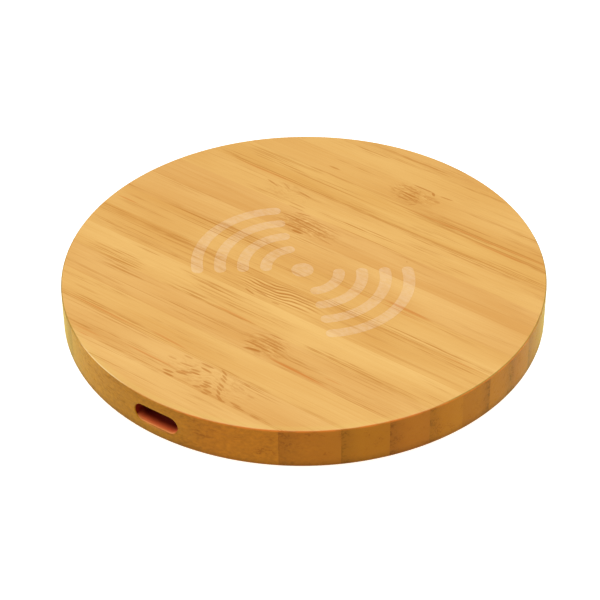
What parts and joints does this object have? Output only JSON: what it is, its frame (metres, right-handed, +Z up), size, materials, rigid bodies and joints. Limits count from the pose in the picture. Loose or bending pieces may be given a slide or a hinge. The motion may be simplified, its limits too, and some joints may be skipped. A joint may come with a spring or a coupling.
{
  "type": "wireless charging pad",
  "caption": "Round laminated-bamboo wireless charging pad with a cable port slot in its side, a printed wave mark on top, and a coil, board and base cover inside.",
  "frame": {"origin": "middle of the plane that the feet stand on, under the pad's axis", "axes": "+Z up out of the charging face, -Y out of the cable port, X along the bamboo's grain"},
  "size_m": [0.1, 0.1, 0.0096],
  "materials": {
    "bamboo": "satin laminated bamboo, grain along X",
    "mark_ink": "pale translucent printed ink",
    "clear_tape": "thin adhesive film",
    "copper_wire": "enamelled stranded copper",
    "lead_sleeve": "silk-covered stranded copper",
    "thermistor_bead": "dipped epoxy bead",
    "ferrite": "pressed ferrite, matt",
    "foam": "closed-cell sponge",
    "board": "green solder mask",
    "chip": "moulded black",
    "inductor": "moulded ferrite shield",
    "ceramic_part": "tan ceramic",
    "plating": "tin plating",
    "socket_steel": "drawn and plated",
    "socket_plastic": "moulded black",
    "contact": "gold plating",
    "screw_steel": "zinc plating",
    "cover_plastic": "fine spark-eroded texture",
    "foot_rubber": "matt silicone"
  },
  "bodies": {
    "root": {"bamboo_body": "bamboo", "charging_mark": "mark_ink", "coil_tape": "clear_tape", "charging_coil": "copper_wire", "coil_leads": "lead_sleeve", "thermistor": "thermistor_bead", "ferrite_tape": "clear_tape", "ferrite_shield": "ferrite", "foam_spacer": "foam", "circuit_board": "board", "controller_chip": "chip", "bridge_transistors": "chip", "regulator_chip": "chip", "filter_inductor": "inductor", "resonant_capacitors": "ceramic_part", "input_capacitors": "ceramic_part", "sense_resistor": "chip", "chip_resistors": "chip", "chip_capacitors": "ceramic_part", "plated_terminals": "plating", "usb_shell": "socket_steel", "usb_insulator": "socket_plastic", "usb_contacts": "contact", "board_screws": "screw_steel", "base_cover": "cover_plastic", "cover_screws": "screw_steel", "rubber_foot_1": "foot_rubber", "rubber_foot_2": "foot_rubber", "rubber_foot_3": "foot_rubber", "rubber_foot_4": "foot_rubber"}
  },
  "joints": []
}
